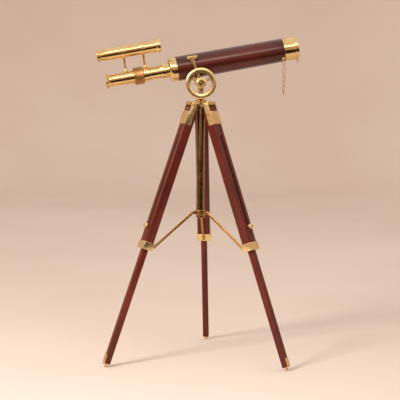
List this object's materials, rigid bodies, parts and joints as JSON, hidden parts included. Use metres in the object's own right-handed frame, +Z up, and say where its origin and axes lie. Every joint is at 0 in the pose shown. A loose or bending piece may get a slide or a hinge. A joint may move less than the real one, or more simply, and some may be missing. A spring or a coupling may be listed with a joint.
{
  "type": "telescope on tripod",
  "caption": "Floor-standing refracting telescope with a finder scope, a tilting and turning mount with a hand wheel, and a folding wooden tripod with spreader braces.",
  "frame": {"origin": "middle of the whole object's footprint box, at floor level", "axes": "+Z up; +X the way the telescope points, which is also the axis of its tube seen from above; +Y along the tilt axle, away from the hand wheel"},
  "size_m": [0.795, 0.6864, 1.2675],
  "materials": {
    "brass": "polished lacquered brass, turned, warm golden with clear reflections",
    "polished_brass": "bright polished brass on the hand wheel and leg fittings",
    "aged_brass": "darker brownish brass, softly polished",
    "leg_wood": "dark reddish mahogany stain under satin lacquer, fine straight grain",
    "barrel_wood": "dark mahogany red gloss lacquer on a turned wooden tube",
    "glass": "clear coated optical glass"
  },
  "bodies": {
    "root": {"tripod_head": "brass", "center_column": "aged_brass"},
    "pan": {"mount_post": "brass", "tilt_axle": "brass", "pan_bolt": "aged_brass", "wheel_nut": "aged_brass"},
    "wheel": {"hand_wheel": "polished_brass"},
    "tube": {"main_barrel": "barrel_wood", "barrel_flange": "brass", "dew_shield": "brass", "objective_lens": "glass", "chain_stud": "brass", "tilt_arm_near": "brass", "tilt_arm_far": "brass"},
    "draw": {"draw_tube": "brass", "finder_bracket_front": "brass", "finder_bracket_rear": "brass", "finder_tube": "brass", "finder_objective_lens": "glass"},
    "focuser": {"focus_ring": "aged_brass"},
    "eyepiece": {"eyepiece_tube": "brass", "eyecup": "brass", "eye_lens": "glass"},
    "finder_focuser": {"finder_eyepiece": "brass", "finder_eye_lens": "glass"},
    "cap": {"lens_cap": "brass"},
    "cap_loop": {"cap_ring": "brass"},
    "chain_top": {"chain_link_1": "brass"},
    "chain": {"chain_link_2": "brass", "chain_link_3": "brass", "chain_link_4": "brass", "chain_link_5": "brass", "chain_link_6": "brass", "chain_link_7": "brass", "chain_link_8": "brass"},
    "hub": {"spreader_hub": "aged_brass"},
    "leg_back": {"upper_leg_back": "leg_wood", "leg_bracket_back": "polished_brass", "leg_collar_back": "polished_brass", "leg_pivot_bolt_back": "brass"},
    "brace_back": {"spreader_brace_back": "aged_brass"},
    "lower_back": {"lower_leg_back": "leg_wood", "foot_spike_back": "polished_brass"},
    "knob_back": {"leg_knob_back": "polished_brass"},
    "leg_left": {"upper_leg_left": "leg_wood", "leg_bracket_left": "polished_brass", "leg_collar_left": "polished_brass", "leg_pivot_bolt_left": "brass"},
    "brace_left": {"spreader_brace_left": "aged_brass"},
    "lower_left": {"lower_leg_left": "leg_wood", "foot_spike_left": "polished_brass"},
    "knob_left": {"leg_knob_left": "polished_brass"},
    "leg_right": {"upper_leg_right": "leg_wood", "leg_bracket_right": "polished_brass", "leg_collar_right": "polished_brass", "leg_pivot_bolt_right": "brass"},
    "brace_right": {"spreader_brace_right": "aged_brass"},
    "lower_right": {"lower_leg_right": "leg_wood", "foot_spike_right": "polished_brass"},
    "knob_right": {"leg_knob_right": "polished_brass"}
  },
  "joints": [
    {"name": "pan_turn", "type": "hinge", "parent": "root", "child": "pan", "pos_m": [0.00926, -0.06082, 1.013], "axis": [0, 0, 1], "continuous": true},
    {"name": "tube_tilt", "type": "hinge", "parent": "pan", "child": "tube", "pos_m": [0.00126, -0.06082, 1.083], "axis": [0, -1, 0], "range_deg": [-40, 45]},
    {"name": "wheel_turn", "type": "hinge", "parent": "pan", "child": "wheel", "pos_m": [0.00126, -0.06082, 1.083], "axis": [0, 1, 0], "range_deg": [0, 180]},
    {"name": "draw_slide", "type": "slide", "parent": "tube", "child": "draw", "axis": [0.9839, 0, 0.1788], "range_m": [-0.06, 0.045]},
    {"name": "focus_turn", "type": "hinge", "parent": "draw", "child": "focuser", "pos_m": [-0.23247, -0.06082, 1.11025], "axis": [0.9839, 0, 0.1788], "range_deg": [-150, 150]},
    {"name": "eyepiece_shift", "type": "slide", "parent": "draw", "child": "eyepiece", "axis": [0.9839, 0, 0.1788], "range_m": [-0.006, 0.006]},
    {"name": "finder_focus", "type": "slide", "parent": "draw", "child": "finder_focuser", "axis": [0.9839, 0, 0.1788], "range_m": [-0.008, 0.006]},
    {"name": "cap_pull", "type": "slide", "parent": "tube", "child": "cap", "axis": [0.9839, 0, 0.1788], "range_m": [0, 0.05]},
    {"name": "cap_loop_hang", "type": "hinge", "parent": "cap", "child": "cap_loop", "pos_m": [0.39119, -0.06082, 1.17114], "axis": [0, -1, 0], "range_deg": [-45, 40]},
    {"name": "chain_hang", "type": "hinge", "parent": "tube", "child": "chain_top", "pos_m": [0.32831, -0.10025, 1.17321], "axis": [0, -1, 0], "range_deg": [-45, 40]},
    {"name": "chain_sway", "type": "hinge", "parent": "chain_top", "child": "chain", "pos_m": [0.32831, -0.10025, 1.15641], "axis": [1, 0, 0], "range_deg": [-30, 30]},
    {"name": "leg_fold_back", "type": "hinge", "parent": "root", "child": "leg_back", "pos_m": [0.01758, -0.0217, 1], "axis": [-0.9781, 0.2079, 0], "range_deg": [0, 15]},
    {"name": "leg_fold_left", "type": "hinge", "parent": "root", "child": "leg_left", "pos_m": [-0.02878, -0.07318, 1], "axis": [0.309, -0.9511, 0], "range_deg": [0, 15.5]},
    {"name": "leg_fold_right", "type": "hinge", "parent": "root", "child": "leg_right", "pos_m": [0.03899, -0.08759, 1], "axis": [0.6691, 0.7431, 0], "range_deg": [0, 15.5]},
    {"name": "hub_slide", "type": "slide", "parent": "root", "child": "hub", "axis": [0, 0, 1], "range_m": [0, 0.06]},
    {"name": "brace_swing_back", "type": "hinge", "parent": "leg_back", "child": "brace_back", "pos_m": [0.05094, 0.13524, 0.44954], "axis": [-0.9781, 0.2079, 0], "range_deg": [0, 33]},
    {"name": "brace_swing_left", "type": "hinge", "parent": "leg_left", "child": "brace_left", "pos_m": [-0.18137, -0.12276, 0.44954], "axis": [0.309, -0.9511, 0], "range_deg": [0, 33]},
    {"name": "brace_swing_right", "type": "hinge", "parent": "leg_right", "child": "brace_right", "pos_m": [0.15822, -0.19494, 0.44954], "axis": [0.6691, 0.7431, 0], "range_deg": [0, 33]},
    {"name": "leg_slide_back", "type": "slide", "parent": "leg_back", "child": "lower_back", "axis": [-0.0718, -0.3378, 0.9385], "range_m": [0, 0.36]},
    {"name": "knob_turn_back", "type": "hinge", "parent": "lower_back", "child": "knob_back", "pos_m": [0.05724, 0.16486, 0.53954], "axis": [0.1951, 0.918, 0.3453], "range_deg": [0, 180]},
    {"name": "leg_slide_left", "type": "slide", "parent": "leg_left", "child": "lower_left", "axis": [0.3284, 0.1067, 0.9385], "range_m": [0, 0.36]},
    {"name": "knob_turn_left", "type": "hinge", "parent": "lower_left", "child": "knob_left", "pos_m": [-0.21017, -0.13212, 0.53954], "axis": [-0.8926, -0.29, 0.3453], "range_deg": [0, 180]},
    {"name": "leg_slide_right", "type": "slide", "parent": "leg_right", "child": "lower_right", "axis": [-0.2566, 0.231, 0.9385], "range_m": [0, 0.36]},
    {"name": "knob_turn_right", "type": "hinge", "parent": "lower_right", "child": "knob_right", "pos_m": [0.18073, -0.21521, 0.53954], "axis": [0.6974, -0.628, 0.3453], "range_deg": [0, 180]}
  ],
  "couplings": [
    {"joint": "eyepiece_shift", "follows": "focus_turn", "m_per_rad": 0.0022},
    {"joint": "cap_loop_hang", "follows": "tube_tilt", "ratio": -1},
    {"joint": "chain_hang", "follows": "tube_tilt", "ratio": -1},
    {"joint": "leg_fold_left", "follows": "leg_fold_back", "ratio": 1},
    {"joint": "leg_fold_right", "follows": "leg_fold_back", "ratio": 1},
    {"joint": "hub_slide", "follows": "leg_fold_back", "m_per_rad": 0.22354},
    {"joint": "brace_swing_back", "follows": "leg_fold_back", "ratio": 2.1335},
    {"joint": "brace_swing_left", "follows": "leg_fold_back", "ratio": 2.1335},
    {"joint": "brace_swing_right", "follows": "leg_fold_back", "ratio": 2.1335}
  ]
}
